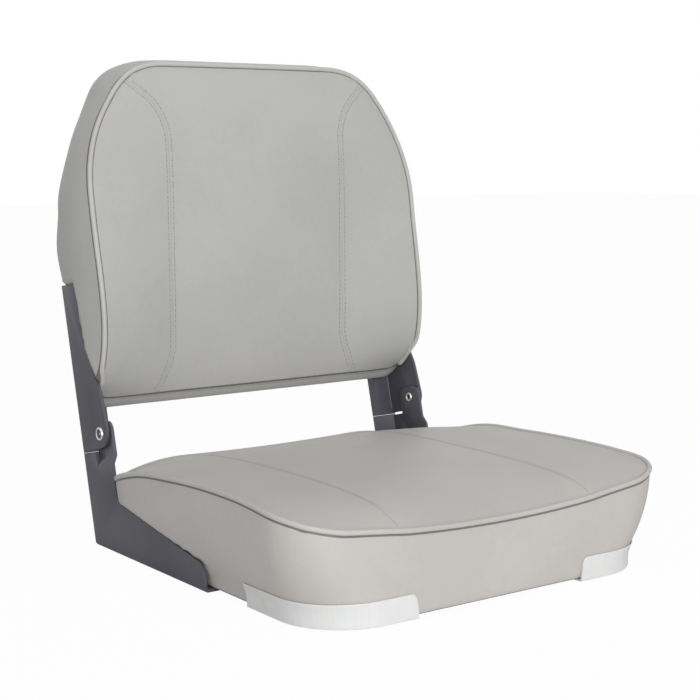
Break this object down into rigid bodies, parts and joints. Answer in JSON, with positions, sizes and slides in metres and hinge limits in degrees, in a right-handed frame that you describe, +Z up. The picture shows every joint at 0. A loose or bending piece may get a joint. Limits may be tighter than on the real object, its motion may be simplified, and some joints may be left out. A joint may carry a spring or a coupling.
{
  "type": "folding boat seat",
  "caption": "Low padded boat seat whose backrest folds forward over the cushion on riveted steel side brackets; bolts to a pedestal or stands on its bracket feet.",
  "frame": {"origin": "centre of the four pedestal bolts, on the underside of the seat base pan", "axes": "+Z up, -Y the way the sitter faces, +X to the right in a front view"},
  "size_m": [0.4246, 0.4704, 0.4811],
  "materials": {
    "cover_vinyl": "light grey marine vinyl with a fine grain, satin",
    "piping_vinyl": "light grey vinyl over a welt cord, satin",
    "bracket_coat": "charcoal powder coat on steel sheet, fine texture",
    "guard_plastic": "milky translucent soft plastic",
    "frame_plastic": "moulded black plastic",
    "washer_plastic": "natural nylon",
    "bright_steel": "zinc plated",
    "foam": "cream cushion foam"
  },
  "bodies": {
    "seat": {"seat_base_pan": "frame_plastic", "seat_foam": "foam", "seat_centre_panel": "cover_vinyl", "left_seat_wing_panel": "cover_vinyl", "right_seat_wing_panel": "cover_vinyl", "seat_side_band": "cover_vinyl", "seat_piping": "piping_vinyl", "left_corner_guard": "guard_plastic", "right_corner_guard": "guard_plastic", "corner_guard_tacks": "bright_steel", "left_seat_bracket": "bracket_coat", "right_seat_bracket": "bracket_coat", "seat_bracket_screws": "bright_steel", "mounting_tee_nuts": "bright_steel", "left_hinge_rivet": "bright_steel", "right_hinge_rivet": "bright_steel", "left_hinge_washer": "washer_plastic", "right_hinge_washer": "washer_plastic", "seat_cover_staples": "bright_steel"},
    "backrest": {"back_frame": "frame_plastic", "back_foam": "foam", "back_centre_panel": "cover_vinyl", "left_back_wing_panel": "cover_vinyl", "right_back_wing_panel": "cover_vinyl", "back_side_band": "cover_vinyl", "back_rear_panel": "cover_vinyl", "back_piping": "piping_vinyl", "left_back_bracket": "bracket_coat", "right_back_bracket": "bracket_coat", "back_bracket_screws": "bright_steel"}
  },
  "joints": [
    {"name": "back_fold", "type": "hinge", "parent": "seat", "child": "backrest", "pos_m": [0, 0.18415, 0.1107], "axis": [1, 0, 0], "range_deg": [0, 90]}
  ]
}
